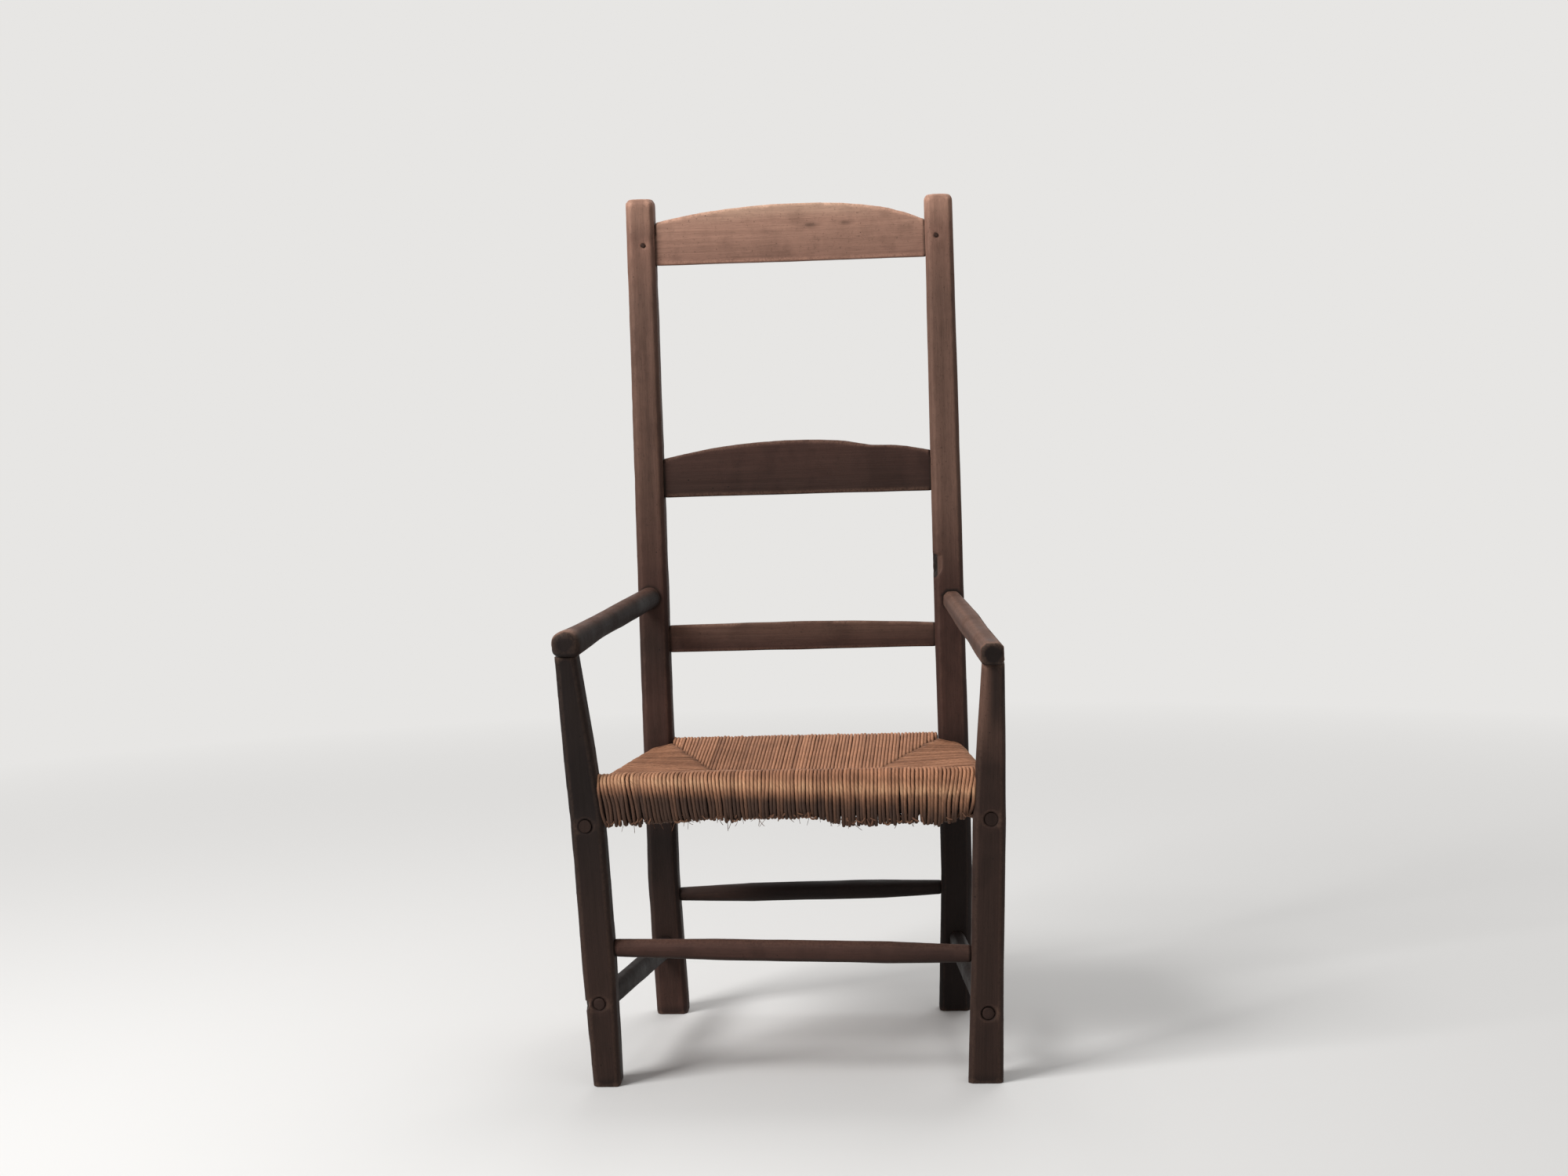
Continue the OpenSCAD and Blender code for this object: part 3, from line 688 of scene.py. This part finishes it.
def wrapped(half_thick, low, high, reach, upper, lower):
    """A strand's path across its rail as (distance inward from the rail's middle, height).

    It runs from the seam at reach along the underside, round the rail and back over it. upper
    and lower are the heights of its two ends there.
    """
    a, radius = half_thick + LIFT, ROLL_RADIUS
    bottom, top = low - LIFT, high + LIFT
    inner = max(reach, a - radius + 6 * MM)
    path = [(inner + 3 * MM, lower + DIVE), (inner, lower)]
    path += arc((a - radius, bottom + radius), radius, radius, -78, -90, 2)
    path += arc((-a + radius, bottom + FOOT_DROP), radius, FOOT_DROP, -90, -180)
    path += arc((-a + radius, top - ROLL_DROP), radius, ROLL_DROP, 180, 90)
    path += arc((a - radius, top - radius), radius, radius, 90, 78, 2)
    path += [(inner, upper), (inner + 3 * MM, upper - DIVE)]
    path = np.array(path)
    steps = np.linalg.norm(np.diff(path, axis=0), axis=1)
    walked = np.concatenate([[0], np.cumsum(steps)])
    even = np.linspace(0, walked[-1], max(12, int(walked[-1] / STEP)))
    even_path = np.stack([np.interp(even, walked, path[:, i]) for i in range(2)], axis=1)
    for _ in range(2):
        even_path[1:-1] = (even_path[:-2] + 2 * even_path[1:-1] + even_path[2:]) / 4
    return even_path


class Strands:
    """Tubes gathered into one mesh, with what the rush material reads."""

    def __init__(self):
        self.points, self.faces, self.lay = [], [], []
        self.tone, self.rubbed, self.grime_and_shade = [], [], []
        self.count = 0

    def tube(self, centre, side, width, depth, tone, rubbed, grime_and_shade, sides=SIDES,
             flank_edge=NARROW):
        """One twisted strand along centre. side is the direction across it, one for all rings."""
        rings = len(centre)
        tangent = np.gradient(centre, axis=0)
        tangent /= np.linalg.norm(tangent, axis=1)[:, None] + 1e-12
        across = np.asarray(side, float) - tangent * (tangent @ np.asarray(side, float))[:, None]
        across /= np.linalg.norm(across, axis=1)[:, None] + 1e-12
        out = np.cross(across, tangent)
        gaps = np.linalg.norm(np.diff(centre, axis=0), axis=1)
        walked = np.concatenate([[0], np.cumsum(gaps)])
        turn = 2 * math.pi * (walked / TWIST + rng.random())
        angle = np.linspace(0, 2 * math.pi, sides, endpoint=False)
        swell = 1 + LOBE * np.cos(2 * (angle[None, :] - turn[:, None]))
        close = np.ones(rings)
        close[[0, -1]] = CLOSED
        reach = swell * close[:, None]
        ring = (centre[:, None, :]
                + across[:, None, :] * (reach * np.cos(angle) * width)[:, :, None]
                + out[:, None, :] * (reach * np.sin(angle) * depth)[:, :, None])
        self.points.append(ring.reshape(-1, 3))
        local = angle[None, :] - turn[:, None]
        start = rng.random() * 40
        self.lay.append(np.stack([np.cos(local), np.sin(local),
                                  np.repeat((walked + start)[:, None], sides, 1)],
                                 axis=2).reshape(-1, 3))
        # Painted shade in the gaps between neighbouring strands, added to the strand's darkening
        flank = FLANK_SHADE * np.abs(np.cos(angle)) ** flank_edge
        darkening = 1 - (1 - np.broadcast_to(grime_and_shade, rings)[:, None]) * (1 - flank)
        self.grime_and_shade.append(darkening.ravel())
        for store, value in ((self.tone, tone), (self.rubbed, rubbed)):
            store.append(np.repeat(np.broadcast_to(value, rings), sides))
        first = self.count
        index = first + np.arange(rings * sides).reshape(rings, sides)
        after = np.roll(index, -1, axis=1)
        quads = np.stack([index[:-1], after[:-1], after[1:], index[1:]], axis=2).reshape(-1, 4)
        self.faces += quads.tolist()
        self.faces += [index[0][::-1].tolist(), index[-1].tolist()]
        self.count += rings * sides

    def mesh(self):
        """All the strands as one mesh."""
        mesh = bpy.data.meshes.new("strands")
        mesh.from_pydata(np.concatenate(self.points).tolist(), [], self.faces)
        carry(mesh, "lay", "FLOAT_VECTOR", np.concatenate(self.lay))
        for name in ("tone", "rubbed", "grime_and_shade"):
            carry(mesh, name, "FLOAT", np.concatenate(getattr(self, name)))
        return mesh


def no_change(place):
    """What a field's lean, sag, tangle and drop are where it lies straight."""
    return 0.0


def lay_field(along, start, stop, section, meeting, inward, tone,
              lean=no_change, sag=no_change, tangle=no_change, drop=no_change):
    """One woven field. Its strands stand side by side along a rail, from start to stop.

    along is the rail's axis and inward the sign of the way in across it. section gives the
    rail's box at a place along it, meeting the corners where the strands end, lean how far a
    strand's foot stands aside from its top on the rail's outer face, sag how far it hangs,
    tangle how far it strays there on its own, and drop how far down that face its pale ridge,
    from wear and a painted highlight, and the painted shade under it lie, as a share of the rail's
    height.
    """
    strands = Strands()
    across = Y if along == X else X
    side = np.eye(3)[along]
    uneven, flank_edge = (0.22 * MM, NARROW) if along == X else (0.50 * MM, BROAD)
    places = np.linspace(start, stop, int(round((stop - start) / PITCH)) + 1)
    for number, place in enumerate(places):
        low, high = section(place)
        middle = (low[across] + high[across]) / 2
        thick = (high[across] - low[across]) / 2
        end = line_at(meeting, along, place)
        # Every other strand ends a little past the seam
        reach = (end[across] - middle) * inward + (1.2 if number % 2 else -1.2) * MM
        path = wrapped(thick, low[Z], high[Z], reach, end[2], end[3])
        centre = np.zeros((len(path), 3))
        centre[:, across] = middle + inward * path[:, 0]
        centre[:, Z] = path[:, 1]
        tall = (path[:, 1] - low[Z]) / (high[Z] - low[Z])
        face = smooth_step(-path[:, 0], -thick, thick)
        centre[:, along] = place + lean(place) * face * (0.5 - tall)
        # Nothing lies quite straight: slow wander aside, and strands that ride up or sink
        where = np.stack([np.full(len(path), number * 0.31), path[:, 0] / (38 * MM),
                          path[:, 1] / (30 * MM)], axis=1)
        alone = where + (number * 2.0, 0, 0)
        astray = tangle(place) * face * smooth_step(-tall, -0.9, -0.1)
        centre[:, along] += ((0.35 + 0.9 * face) * MM * noise(where, SHARED_STRAY)
                             + astray * noise(alone, OWN_STRAY) + rng.normal(0, 0.15 * MM))
        lift = (0.35 * MM * noise(alone, OWN_LIFT) + 0.5 * astray * noise(alone, TANGLE_LIFT)
                + rng.normal(0, uneven))
        outward = np.stack([path[:, 0] - np.clip(path[:, 0], -thick, None),
                            path[:, 1] - (low[Z] + high[Z]) / 2], axis=1)
        outward /= np.linalg.norm(outward, axis=1)[:, None] + 1e-9
        centre[:, across] += inward * outward[:, 0] * lift
        centre[:, Z] += outward[:, 1] * lift
        outside = smooth_step(-path[:, 0], 0, thick)
        foot = outside * smooth_step(low[Z] + 22 * MM - path[:, 1], 0, 20 * MM)
        centre[:, Z] -= foot * sag(place)
        shifted_tall = tall + drop(place)
        # The ridge, paler from wear and as a painted highlight, with a darker strip over it
        ridge = np.exp(-((shifted_tall - RIDGE) / RIDGE_SPREAD) ** 2) * face
        crown = 0.24 * np.exp(-((shifted_tall - CROWN) / CROWN_SPREAD) ** 2) * face
        # Painted shade on the outer face below the ridge, which the light from above hardly reaches
        outer = outside * (0.10 + 0.82 * smooth_step(-shifted_tall, -FACE_SHADE_START, -FACE_SHADE_FULL))
        # Painted shade in the seams' valleys and on the lower strands
        valley = VALLEY_SHADE * smooth_step(path[:, 0], reach - 9 * MM, reach)
        under = UNDER_SHADE * (path[:, 1] <= (low[Z] + high[Z]) / 2)
        grime_and_shade = np.maximum.reduce([outer, crown, valley, under]) + rng.normal(0, 0.07)
        grime_and_shade = np.clip(grime_and_shade, 0, MOST_DIRT_AND_SHADE)
        strands.tube(centre, side, HALF_WIDTH * rng.uniform(0.92, 1.07),
                     HALF_DEPTH * rng.uniform(0.92, 1.08), np.clip(rng.normal(tone, 0.11), 0, 1),
                     ridge * rng.uniform(0.3, 0.75), grime_and_shade, flank_edge=flank_edge)
    return strands


def front_lean(place):
    """How far the foot of a front strand stands to the right of its top."""
    return 9 * MM * smooth_step(-place, -0.02, 0.18) - 9 * MM * smooth_step(place, 0.15, 0.23)


def front_sag(place):
    """The old strands have come loose under the front rail, unevenly."""
    slow = noise(np.array([[place / (34 * MM), 0.5, 0.5]]), SLOW_SAG)[0]
    loose = 13 * MM * smooth_step(place, 0.03, 0.07) * smooth_step(-place, -0.24, -0.205)
    corner = 6 * MM * smooth_step(-place, 0.07, 0.18)
    return loose + corner + 3 * MM * slow + abs(rng.normal(0, 2.1 * MM))


def front_tangle(place):
    """Each strand strays more towards the front corners."""
    corner = 1.5 * smooth_step(-place, 0.16, 0.21) + 0.6 * smooth_step(place, 0.12, 0.19)
    return 1.6 * MM + 3.4 * MM * corner


def front_drop(place):
    """The front's ridge, paler from wear and with a painted highlight, and the painted shade under
    it run down from the left to the right.
    """
    return 0.10 + 0.9 * place


EDGE = 0.5 * PITCH
SIDE_START = leg_left[1][Y] + EDGE
SIDE_STOP = post_left[0][Y] - EDGE
FIELDS = {
    "front": dict(
        along=X, start=FRONT_LEFT[0] + EDGE, stop=FRONT_RIGHT[0] - EDGE, inward=1, tone=0.58,
        section=lambda place: (front_low, front_high),
        meeting=(FRONT_LEFT, SEAM_LEFT, SEAM_RIGHT, FRONT_RIGHT),
        lean=front_lean, sag=front_sag, tangle=front_tangle, drop=front_drop),
    "back": dict(
        along=X, start=BACK_LEFT[0] + EDGE, stop=BACK_RIGHT[0] - EDGE, inward=-1, tone=0.62,
        section=lambda place: (back_low, back_high),
        meeting=(BACK_LEFT, SEAM_LEFT, SEAM_RIGHT, BACK_RIGHT)),
    "left": dict(
        along=Y, start=SIDE_START, stop=SIDE_STOP, inward=1, tone=0.40,
        section=lambda place: cut("seat_rail_left", Y, place),
        meeting=(FRONT_LEFT, SEAM_LEFT, BACK_LEFT)),
    "right": dict(
        along=Y, start=SIDE_START, stop=SIDE_STOP, inward=-1, tone=0.48,
        section=lambda place: cut("seat_rail_right", Y, place),
        meeting=(FRONT_RIGHT, SEAM_RIGHT, BACK_RIGHT)),
}
for name, field in FIELDS.items():
    show(lay_field(**field).mesh(), "rush_" + name, RUSH, "rush", "rush_seat")


HAIRS = 46                 # thin fibres that hang out of the rush's front edge
BROKEN_ENDS = 90           # short ends of broken strands along it
FREE_STEPS = 12            # straight pieces in each of them
# Where the fibres gather and where curled loops hang out, from the left leg to the right one
CLUMPS = [x * MM for x in (-205, -165, -128, -98, -70, -30, 18, 62, 100, 150, 172, 196)]
LOOPS = [x * MM for x in (-216, -132, -124, -60, 38, 88, 131, 146, 158)]


def strayed(start, heading, length, curl):
    """A free end: a path that starts along heading and bends towards curl as it goes."""
    path, way = [np.array(start, float)], np.array(heading, float)
    for _ in range(FREE_STEPS):
        way = way + np.array(curl) / FREE_STEPS
        way /= np.linalg.norm(way)
        path.append(path[-1] + way * length / FREE_STEPS)
    return np.array(path)


def frayed_edge():
    """Thin fibres, broken ends and curled loops of rush that hang under the front rail."""
    frays = Strands()
    foot_y = front_y - 11 * MM
    foot_z = front_low[Z] - 2 * MM

    def under(place):
        """The height of the sagging strands' undersides."""
        return foot_z + 4 * MM - front_sag(place) * 0.6

    for _ in range(HAIRS):
        place = rng.choice(CLUMPS) + rng.normal(0, 12 * MM)
        start = (place, foot_y + rng.uniform(-5, 9) * MM, under(place))
        path = strayed(start, (rng.normal(0, 0.35), rng.normal(0, 0.35), -1),
                       rng.uniform(5, 20) * MM, rng.normal(0, 0.55, 3))
        width = rng.uniform(0.20, 0.42) * MM
        frays.tube(path, (1, 0, 0), width, width, 0.25, 0.0, 0.65, sides=5)
    for _ in range(BROKEN_ENDS):
        place = rng.uniform(FRONT_LEFT[0] + 4 * MM, FRONT_RIGHT[0] - 4 * MM)
        start = (place, foot_y + rng.uniform(-6, 6) * MM, under(place) + 4 * MM)
        path = strayed(start, (rng.normal(0, 0.6), rng.normal(-0.2, 0.3), -1),
                       rng.uniform(5, 11) * MM, (rng.normal(0, 1.4), rng.normal(0, 0.8), 0.5))
        width = rng.uniform(0.7, 1.4) * MM
        frays.tube(path, (1, 0, 0), width, width * 0.8, rng.uniform(0.3, 0.6), 0.0, 0.68, sides=6)
    for place in LOOPS:
        radius = rng.uniform(2.6, 4.6) * MM
        turn = np.linspace(0.2, rng.uniform(1.3, 1.9) * math.pi, 18)
        middle = np.array([place, foot_y - 3 * MM, under(place) + 1 * MM])
        path = middle + np.stack([radius * np.cos(turn), 1.2 * MM * turn / math.pi,
                                  -radius * 1.2 * np.sin(turn)], axis=1)
        width = rng.uniform(0.9, 1.3) * MM
        frays.tube(path, (0, 1, 0), width, width, 0.5, 0.1, 0.5, sides=6)
    return frays


def packing():
    """The dark stuffing between the upper and the lower strands."""
    corners = (FRONT_LEFT, FRONT_RIGHT, BACK_RIGHT, BACK_LEFT, SEAM_LEFT, SEAM_RIGHT)
    sunk = (24, 24, 24, 24, 29, 29)   # how far the packing lies below the seat's height, in mm
    tops = [(x, y, seat_z - depth * MM) for (x, y, _, _), depth in zip(corners, sunk)]
    feet = [(x, y, lower + 6 * MM) for x, y, _, lower in corners]
    above = [(0, 1, 5, 4), (1, 2, 5), (2, 3, 4, 5), (3, 0, 4)]
    below = [tuple(6 + i for i in reversed(face)) for face in above]
    walls = [(i, i + 6, (i + 1) % 4 + 6, (i + 1) % 4) for i in range(4)]
    mesh = bpy.data.meshes.new("packing")
    mesh.from_pydata(tops + feet, [], above + below + walls)
    carry(mesh, "lay", "FLOAT_VECTOR", rows_of(mesh.vertices, "co", 3) * 300)
    for name, value in (("tone", 0.1), ("rubbed", 0.0), ("grime_and_shade", 0.7)):
        carry(mesh, name, "FLOAT", np.full(len(mesh.vertices), value))
    return mesh


show(frayed_edge().mesh(), "rush_frays", RUSH, "rush", "rush_seat")
show(packing(), "rush_packing", RUSH, "rush", "rush_seat")


# ---- Studio ----

FLOOR_COLOUR = (0.80, 0.79, 0.775, 1)
FLOOR_REACH = 9.0           # from the middle of the floor to each side
FADE = (0.9, 3.4)           # how far out the floor's shadows begin to fade and are gone
AIM = Vector((0, 0, 0.55))  # the middle of the chair


def pale_floor():
    """A pale floor that keeps the chair's shadow and runs out into the pale background."""
    mesh = bpy.data.meshes.new("floor")
    corners = [(x * FLOOR_REACH, y * FLOOR_REACH, 0)
               for x, y in ((-1, -1), (1, -1), (1, 1), (-1, 1))]
    mesh.from_pydata(corners, [], [(0, 1, 2, 3)])
    material, tree, shader = new_material("pale_floor")
    place = add(tree, "TexCoord").outputs["Object"]
    away = add(tree, "VectorMath", {0: place}, operation="LENGTH").outputs["Value"]
    shader.inputs["Base Color"].default_value = FLOOR_COLOUR
    shader.inputs["Roughness"].default_value = 0.9
    shader.inputs["Specular IOR Level"].default_value = 0.1
    glow = add(tree, "Emission", {"Color": FLOOR_COLOUR, "Strength": 1.0})
    seen = add(tree, "LightPath").outputs["Is Camera Ray"]
    share = calc(tree, "MULTIPLY", seen, span(tree, away, *FADE))
    both = add(tree, "MixShader", {0: share, 1: shader.outputs[0], 2: glow.outputs[0]})
    tree.links.new(both.outputs[0], tree.nodes["Material Output"].inputs["Surface"])
    mesh.materials.append(material)
    floor = bpy.data.objects.new("floor", mesh)
    bpy.context.scene.collection.objects.link(floor)


def soft_light(name, place, size, power):
    """A square area light aimed at the middle of the chair, with its side and its watts."""
    data = bpy.data.lights.new(name, "AREA")
    data.size, data.energy = size, power
    light = bpy.data.objects.new(name, data)
    bpy.context.scene.collection.objects.link(light)
    light.location = place
    light.rotation_mode = "QUATERNION"
    light.rotation_quaternion = (AIM - Vector(place)).to_track_quat("-Z", "Y")


def sky(strength):
    """Even light from all round, with the floor's pale colour behind the chair."""
    world = bpy.data.worlds.new("studio")
    bpy.context.scene.world = world
    world.use_nodes = True
    tree = world.node_tree
    tree.nodes.clear()
    light = add(tree, "Background", {"Color": (1, 1, 1, 1), "Strength": strength})
    backdrop = add(tree, "Background", {"Color": FLOOR_COLOUR, "Strength": 1.0})
    path = add(tree, "LightPath")
    seen = calc(tree, "MAXIMUM", path.outputs["Is Camera Ray"],
                calc(tree, "MAXIMUM", path.outputs["Is Glossy Ray"],
                     path.outputs["Is Transmission Ray"]))
    both = add(tree, "MixShader", {0: seen, 1: light.outputs[0], 2: backdrop.outputs[0]})
    output = add(tree, "OutputWorld")
    tree.links.new(both.outputs[0], output.inputs["Surface"])


def camera(place, pitch, yaw, roll, lens):
    """The camera at place. It looks along +Y, then pitch turns it down and yaw to the right,
    and roll lifts its right side. The angles are in degrees and the lens is in mm.
    """
    pitch, yaw, roll = (math.radians(angle) for angle in (pitch, yaw, roll))
    ahead = np.array([math.sin(yaw) * math.cos(pitch), math.cos(yaw) * math.cos(pitch),
                      -math.sin(pitch)])
    level = np.array([math.cos(yaw), -math.sin(yaw), 0.0])
    up = np.cross(level, ahead)
    right = math.cos(roll) * level + math.sin(roll) * up
    top = math.cos(roll) * up - math.sin(roll) * level
    data = bpy.data.cameras.new("camera")
    data.lens, data.sensor_width = lens, 36.0
    view = bpy.data.objects.new("camera", data)
    bpy.context.scene.collection.objects.link(view)
    turned = Matrix(np.stack([right, top, -ahead], axis=1).tolist()).to_4x4()
    view.matrix_world = Matrix.Translation(place) @ turned
    bpy.context.scene.camera = view


pale_floor()
soft_light("key", place=(-2.5, -1.9, 3.0), size=1.5, power=130)
soft_light("fill", place=(2.6, -2.8, 1.9), size=2.4, power=5)
soft_light("top", place=(0.3, 1.6, 3.2), size=2.0, power=38)
sky(strength=0.33)
camera(place=(0.2435, -3.2175, 0.882), pitch=4.80, yaw=-4.43, roll=-1.80, lens=56.0)
bpy.context.scene.view_settings.view_transform = "Standard"
